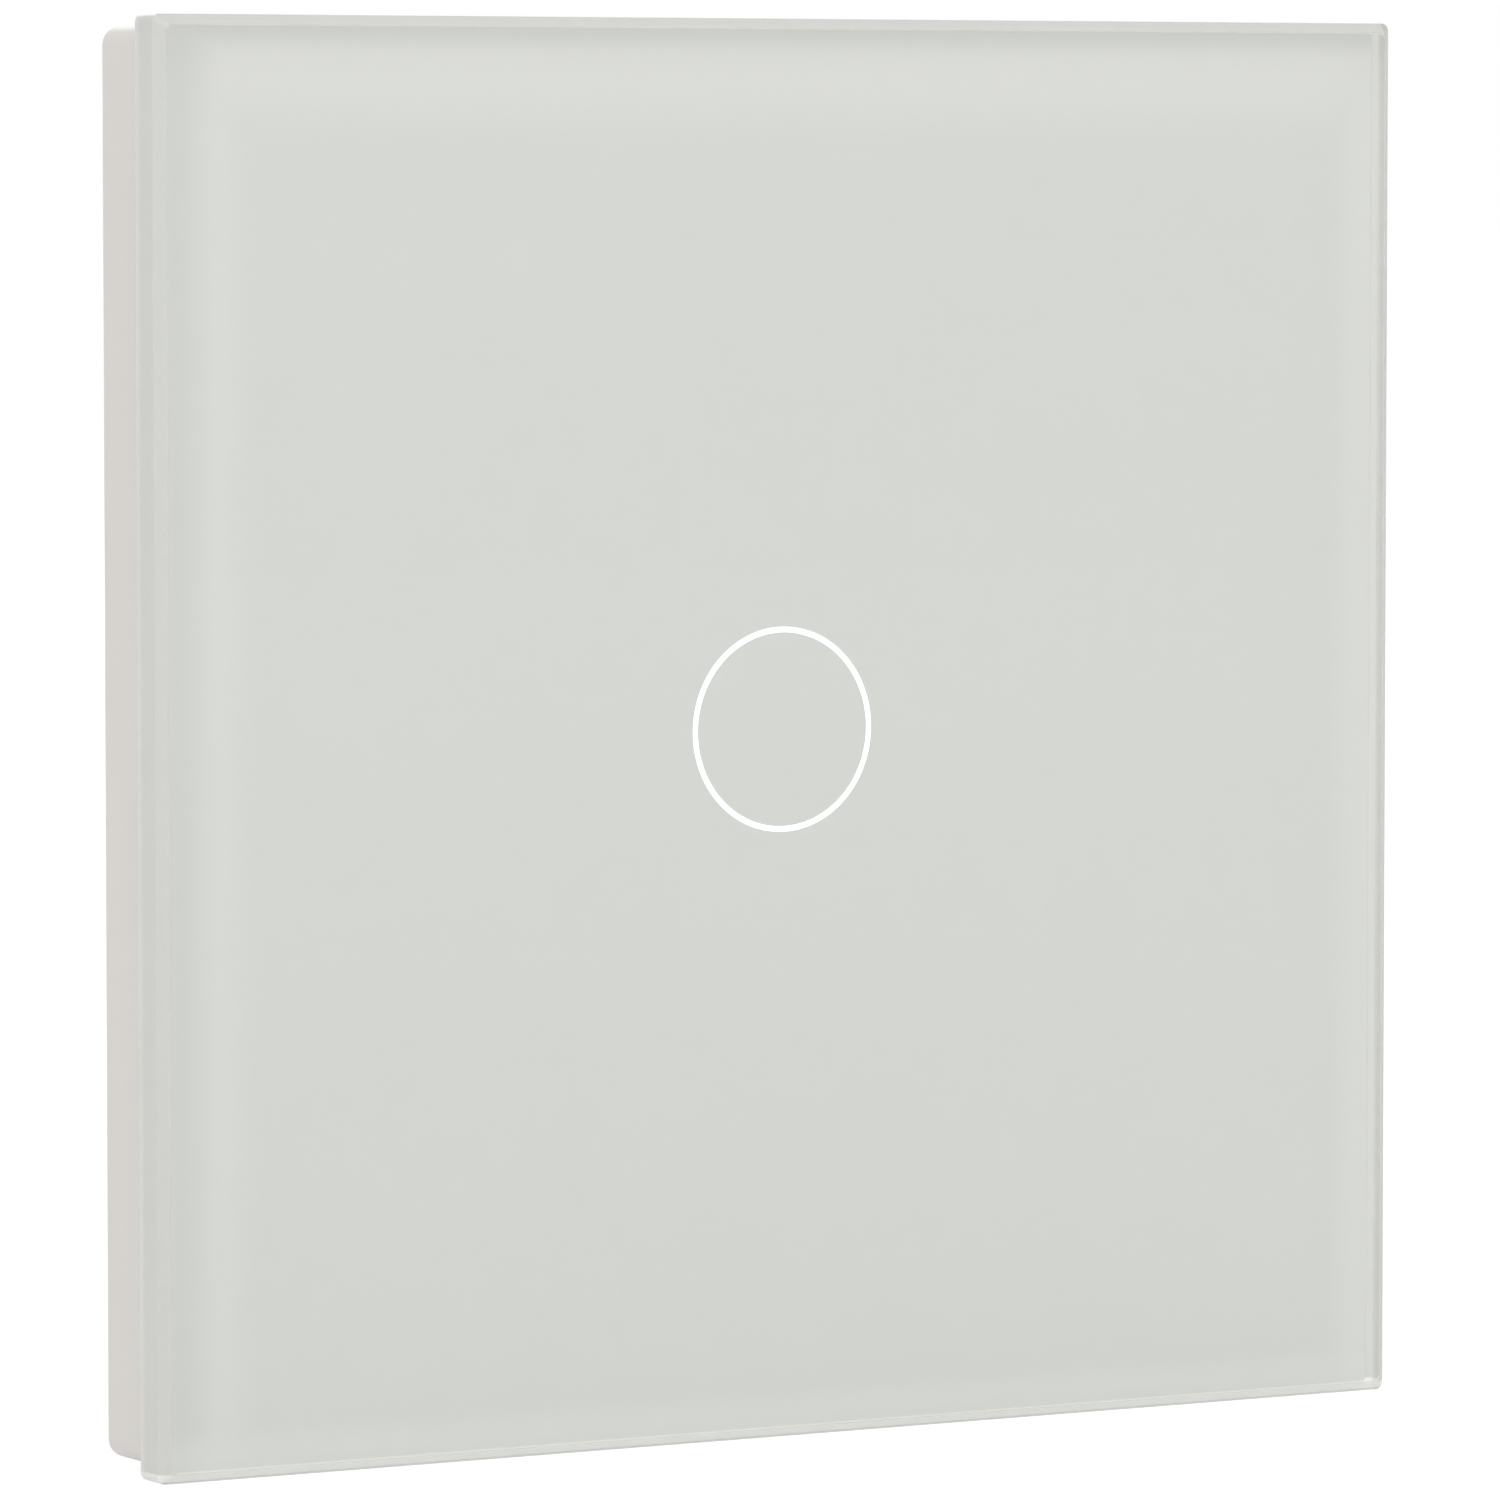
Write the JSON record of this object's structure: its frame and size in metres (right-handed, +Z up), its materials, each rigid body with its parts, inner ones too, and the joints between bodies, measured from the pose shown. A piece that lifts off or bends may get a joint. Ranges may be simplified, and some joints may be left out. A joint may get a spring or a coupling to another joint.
{
  "type": "touch light switch",
  "caption": "Touch light switch: square bevelled glass plate with a lit ring, plastic frame, steel mounting plate and rear power box for a round wall box.",
  "frame": {"origin": "on the wall's surface, which is the rear face of the mounting plate, at the centre of the four fixing slots", "axes": "+X to the right as the user faces the switch, +Y into the wall, +Z up"},
  "size_m": [0.08, 0.0352, 0.08],
  "materials": {
    "clear_glass": "polished float glass with a faint green tint",
    "white_print": "opaque white print, seen through the glass",
    "ring_ink": "translucent white ink, lit from behind",
    "tape_foam": "white foam tape",
    "frame_plastic": "fine satin moulded plastic, off-white",
    "zinc_steel": "galvanised sheet steel",
    "screw_steel": "zinc plated",
    "module_plastic": "moulded plastic, off-white",
    "board_laminate": "green solder mask on glass laminate",
    "milky_plastic": "milky diffusing plastic",
    "led_body": "small moulded lamp",
    "spring_steel": "nickel plated spring wire",
    "chip_resin": "black moulded resin",
    "chip_ceramic": "thick film chip",
    "header_plastic": "black moulded plastic",
    "gold_plate": "gold plated pins",
    "box_plastic": "moulded flame-resistant plastic, light grey-white",
    "tinned_wire": "tinned copper",
    "relay_plastic": "dark blue moulded plastic",
    "soft_iron": "nickel plated soft iron",
    "bobbin_plastic": "natural moulded plastic",
    "enamelled_copper": "enamelled copper wire",
    "contact_brass": "spring brass with silver contact",
    "film_case": "yellow moulded case",
    "can_sleeve": "black shrunk sleeve",
    "varistor_coating": "blue dipped coating",
    "fuse_body": "brown dipped body",
    "ferrite": "sintered ferrite",
    "terminal_brass": "bright brass",
    "terminal_screw_steel": "zinc plated terminal screw"
  },
  "bodies": {
    "base": {"mounting_plate": "zinc_steel", "case_screws": "screw_steel", "module_frame": "module_plastic", "touch_board": "board_laminate", "light_guide": "milky_plastic", "ring_leds": "led_body", "touch_spring": "spring_steel", "touch_chip": "chip_resin", "touch_resistors": "chip_ceramic", "header_socket": "header_plastic", "header_strip": "header_plastic", "header_pins": "gold_plate", "power_box": "box_plastic", "power_board": "board_laminate", "board_screws": "screw_steel", "component_leads": "tinned_wire", "relay_base": "relay_plastic", "relay_cover": "relay_plastic", "relay_pins": "tinned_wire", "relay_yoke": "soft_iron", "relay_core": "soft_iron", "relay_bobbin": "bobbin_plastic", "relay_coil": "enamelled_copper", "relay_fixed_contact": "contact_brass", "film_capacitor": "film_case", "electrolytic_capacitors": "can_sleeve", "varistor": "varistor_coating", "fuse": "fuse_body", "choke_core": "ferrite", "choke_winding": "enamelled_copper", "bridge_rectifier": "chip_resin", "regulator_chip": "chip_resin", "line_bar": "terminal_brass", "load_bar": "terminal_brass"},
    "cover": {"glass_panel": "clear_glass", "printed_backing": "white_print", "ring_window": "ring_ink", "bond_tape": "tape_foam", "cover_frame": "frame_plastic"},
    "armature": {"relay_armature": "soft_iron", "relay_blade": "contact_brass"},
    "line_screw": {"line_screw": "terminal_screw_steel"},
    "load_screw": {"load_screw": "terminal_screw_steel"},
    "line_clamp": {"line_clamp": "terminal_brass"},
    "load_clamp": {"load_clamp": "terminal_brass"}
  },
  "joints": [
    {"name": "cover_pull", "type": "slide", "parent": "base", "child": "cover", "axis": [0, -1, 0], "range_m": [0, 0.025]},
    {"name": "armature_tilt", "type": "hinge", "parent": "base", "child": "armature", "pos_m": [-0.0069, 0.01865, 0.0055], "axis": [0, 0, -1], "range_deg": [0, 3.5], "stiffness_Nm_per_rad": 0.02, "springref_deg": -5.73},
    {"name": "line_screw_turn", "type": "hinge", "parent": "base", "child": "line_screw", "pos_m": [-0.0075, 0.023, -0.0168], "axis": [0, -1, 0], "range_deg": [0, 1440]},
    {"name": "line_clamp_rise", "type": "slide", "parent": "base", "child": "line_clamp", "axis": [0, 1, 0], "range_m": [0, 0.0024]},
    {"name": "load_screw_turn", "type": "hinge", "parent": "base", "child": "load_screw", "pos_m": [0.0075, 0.023, -0.0168], "axis": [0, -1, 0], "range_deg": [0, 1440]},
    {"name": "load_clamp_rise", "type": "slide", "parent": "base", "child": "load_clamp", "axis": [0, 1, 0], "range_m": [0, 0.0024]}
  ],
  "couplings": [
    {"joint": "line_screw_turn", "follows": "line_clamp_rise", "rad_per_m": 10472},
    {"joint": "load_screw_turn", "follows": "load_clamp_rise", "rad_per_m": 10472}
  ]
}
